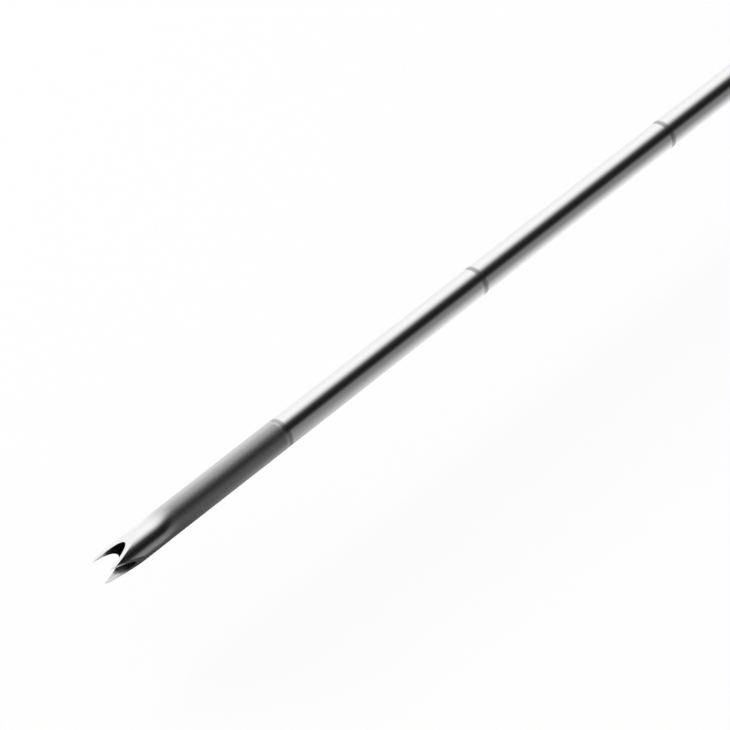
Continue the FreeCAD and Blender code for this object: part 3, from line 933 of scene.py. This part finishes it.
# %% Model the cap and its plug
flute_count = 12
flute_radius = 0.9
flute_depth = 0.35
grip_radius = 4.8
cap_nose = [(3.5, 0.43), (3.5, 1.975), (11.0, 2.2)]
cap_neck = [(11.0, 3.1), (11.8, 3.1), (11.8, 2.5), (13.4, 2.5)]
cap_grip = [(13.4, grip_radius), (24.4, grip_radius)]
cap_well = [(24.4, 3.7), (23.0, 3.7), (23.0, 1.7), (17.5, 1.7), (17.5, 0.43), (3.5, 0.43)]
cap = turned("handle_cap", softened(cap_nose + cap_neck + cap_grip + cap_well, 0.35))
flute(cap, flute_count, flute_radius, grip_radius + flute_radius - flute_depth, 14.0, 23.8)
finish_piece(cap, "stylet", "stylet_cap", "cap_plastic")

plug_radius = 3.69
dome_height = 0.5
dome_radius = (plug_radius ** 2 + dome_height ** 2) / (2 * dome_height)
dome_centre = 24.9 - dome_radius
plug_profile = [(23.0, plug_radius), (24.4, plug_radius)]
for radius in (3.1, 2.5, 1.9, 1.3, 0.7, 0.3):
    plug_profile.append((dome_centre + math.sqrt(dome_radius ** 2 - radius ** 2), radius))
plug = turned("gauge_plug", softened(plug_profile, 0.12))
finish_piece(plug, "stylet", "cap_end_plug", "plug_plastic")

# %% [markdown]
# The collar is a thin cup with a hole in its back wall and twenty ribs. One rib is a block with its
# edges bevelled, and the others are copies turned about the axis. They sink into the cup.

# %% Model the lock collar
rib_count = 20
collar_profile = [(5.6, 4.115), (5.6, 4.565), (13.2, 4.565), (13.2, 2.7), (12.0, 2.7), (12.0, 4.115),
                  (5.6, 4.115)]
cup = turned("collar_cup", softened(collar_profile, 0.2))
rib = box((6.2, -0.35, 4.34), (12.6, 0.35, 4.865))
round_edges(rib, 0.14, 3)
collar = join([cup] + set_around(rib, rib_count), "ribbed_collar")
finish_piece(collar, "collar", "lock_collar", "collar_plastic")

# %% [markdown]
# The thumb screw's knob is turned lying down, then stood up on the stud. Its top is dished, its rim
# is cut by ten lobes, and the pocket under it takes the stud.

# %% Model the thumb knob
lobe_count = 10
lobe_radius = 0.8
lobe_depth = 0.4
knob_radius = 4.3
knob_height = 4.4
knob_foot_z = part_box("thumb_knob")[0].z
knob_profile = [(0.16, 1.26), (0, 1.26), (0, knob_radius), (knob_height, knob_radius),
                (knob_height, 3.7), (4.1, 3.4)]
knob = turned("dished_knob", softened(knob_profile, 0.35))
flute(knob, lobe_count, lobe_radius, knob_radius + lobe_radius - lobe_depth, -0.1, knob_height + 0.1)
knob.rotation_euler.y = -math.pi / 2
knob.location = (stud_x, 0, knob_foot_z)
bpy.ops.object.transform_apply(location=True, rotation=True, scale=True)
finish_piece(knob, "thumb_screw", "thumb_knob", "knob_plastic")

# %% [markdown]
# Two pieces have a square grip with a thumb scoop on each side: the hub and the depth stop. Both start
# as a block whose long edges are bevelled wide and whose ends are bevelled fine. Two upright drums
# then hollow the sides.

# %% Tools for grips
rest_height = 5.0


def grip_block(name, start_x, end_x, corner, end_break):
    """A square block along the axis with wide rounds on its long edges and fine ones on its ends."""
    block = box((start_x, -rest_height, -rest_height), (end_x, rest_height, rest_height))
    block.name = name
    bpy.ops.object.mode_set(mode="EDIT")
    bpy.ops.mesh.select_mode(type="EDGE")
    bpy.ops.mesh.select_all(action="DESELECT")
    mesh = bmesh.from_edit_mesh(block.data)
    for edge in mesh.edges:
        first, second = edge.verts
        edge.select_set(abs(first.co.x - second.co.x) > corner * mm)
    bmesh.update_edit_mesh(block.data)
    bpy.ops.mesh.bevel(offset=corner * mm, segments=12, affect="EDGES")
    pick_faces(block, lambda centre, normal: abs(normal.x) > 0.9)
    bpy.ops.mesh.bevel(offset=end_break * mm, segments=3, affect="EDGES")
    bpy.ops.object.mode_set(mode="OBJECT")
    return block


def hollow_sides(block, middle_x, radius, depth):
    """Scoop the two sides of a block with upright drums."""
    bpy.ops.object.select_all(action="DESELECT")
    bpy.ops.mesh.primitive_cylinder_add(vertices=192, radius=radius * mm, depth=20 * mm,
                                        location=(middle_x * mm, (rest_height + radius - depth) * mm, 0))
    drum = bpy.context.object
    bpy.ops.object.transform_apply(location=True, rotation=True, scale=True)
    carve(block, join(set_around(drum, 2), "drums"), "DIFFERENCE")


def stand_up(piece, foot_x):
    """Turn a piece from lying along X to standing on the axis at foot_x."""
    bpy.ops.object.select_all(action="DESELECT")
    piece.select_set(True)
    bpy.context.view_layer.objects.active = piece
    piece.rotation_euler.y = -math.pi / 2
    piece.location.x = foot_x
    bpy.ops.object.transform_apply(location=True, rotation=True, scale=True)
    return piece


print("grip helpers ready")

# %% [markdown]
# The depth stop's block carries a round boss for the screw. Two turned tools hollow it: one along the
# cannula, for the silicone sleeve and its retainer, and one upright, for the shoe and the insert.

# %% Model the depth stop's block
stop_low, stop_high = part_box("stop_body")
stop_start = stop_low.x / mm
stop_end = stop_high.x / mm
boss_top = 6.6
block = grip_block("stop_block", stop_start, stop_end, 2.0, 0.35)
hollow_sides(block, stud_x / mm, 9.0, 1.0)
boss = turned("boss", [(0, 3.4), (boss_top - 0.3, 3.4), (boss_top - 0.1, 3.32), (boss_top, 3.1)])
carve(block, stand_up(boss, stud_x), "UNION")
sleeve_bore = turned("sleeve_bore", [(stop_start - 0.1, 0.8135), (stop_start + 1, 0.8135),
                                     (stop_start + 1, 1.6635), (stop_end - 1.5, 1.6635),
                                     (stop_end - 1.5, 2.7), (stop_end + 0.1, 2.7)])
carve(block, sleeve_bore, "DIFFERENCE")
screw_bore = turned("screw_bore", [(0, 1.46), (3.6, 1.46), (3.6, 2.2), (boss_top + 0.1, 2.2)])
carve(block, stand_up(screw_bore, stud_x), "DIFFERENCE")
finish_piece(block, "depth_stop", "stop_body", "stop_plastic")

# %% [markdown]
# The hub is one clear moulding. In front of its grip a ribbed nose tapers to the cannula, and behind
# it the luer barrel ends in two lugs. Rounded ridges cross both scoops. The hollow is one turned tool:
# luer socket, funnel, seat for the cannula, and the glue well at the front.

# %% Model the clear hub
nose_start = -24.0
grip_start = -15.0
grip_end = -6.5
grip_middle = (grip_start + grip_end) / 2
overlap = 0.5
scoop_radius = 13.0
scoop_depth = 0.9
ridge_pitch = 1.5
rib_front_top = 1.9
rib_top = 4.438
hub = grip_block("clear_hub", grip_start, grip_end, 1.8, 0.35)
hollow_sides(hub, grip_middle, scoop_radius, scoop_depth)
first_ridge = box((grip_middle - 0.33, -0.3, -3.2), (grip_middle + 0.33, 0.3, 3.2))
round_edges(first_ridge, 0.2, 4)
ridges = []
for offset in (-1.5 * ridge_pitch, -0.5 * ridge_pitch, 0.5 * ridge_pitch, 1.5 * ridge_pitch):
    floor = rest_height - scoop_depth + scoop_radius - math.sqrt(scoop_radius ** 2 - offset ** 2)
    ridges.append(copy_of(first_ridge, shift=(offset, floor, 0)))
    ridges.append(copy_of(first_ridge, shift=(offset, -floor, 0)))
bpy.data.objects.remove(first_ridge)
carve(hub, join(ridges, "ridges"), "UNION")
nose = turned("nose", [(nose_start, 1.8), (nose_start + 0.1, 1.9), (grip_start + overlap, 2.85)])
carve(hub, nose, "UNION")
nose_rib = box((nose_start + 0.3, -0.4, 0.8), (grip_start + overlap, 0.4, rib_top))
bpy.ops.object.mode_set(mode="EDIT")
bpy.ops.mesh.select_mode(type="VERT")
bpy.ops.mesh.select_all(action="DESELECT")
mesh = bmesh.from_edit_mesh(nose_rib.data)
for corner in mesh.verts:
    corner.select_set(corner.co.z > 4 * mm and corner.co.x < grip_start * mm)
bmesh.update_edit_mesh(nose_rib.data)
bpy.ops.transform.translate(value=(0, 0, (rib_front_top - rib_top) * mm))
pick_faces(nose_rib, lambda centre, normal: normal.z > 0.5)
bpy.ops.mesh.bevel(offset=0.15 * mm, segments=3, affect="EDGES")
bpy.ops.object.mode_set(mode="OBJECT")
carve(hub, join(set_around(nose_rib, 4), "nose_ribs"), "UNION")
barrel = turned("barrel", [(grip_end - overlap, 3.35), (-0.15, 3.35), (-0.04, 3.3), (0, 3.2)])
carve(hub, barrel, "UNION")
lugs = turned("lugs", [(-2, 3.8), (-1.9, 3.915), (-0.1, 3.915), (-0.02, 3.8)])
carve(lugs, box((-3, -1.7, -5), (1, 1.7, 5)), "INTERSECT")
carve(hub, lugs, "UNION")
hollow = turned("hollow", [(0.1, 2.14), (0, 2.14), (-9, 1.87), (-11.2, 0.4745), (-11.2, 0.5435),
                           (-18, 0.5435), (-18, 1.2), (nose_start - 0.1, 1.2)])
carve(hub, hollow, "DIFFERENCE")
finish_piece(hub, "cannula", "cannula_hub", "clear_plastic")

# %% [markdown]
# The nodes of the frame that already have the right shape stay, and only change their finish. The
# record names a material slot for each, and the finishes above carry the slots' names.

# %% Dress the frame's own pieces
for subpart in frame["record"]["subparts"]:
    dressed = nodes[subpart["node"]]
    for held in dressed.material_slots:
        held.material = finishes[subpart["material_slot"]]
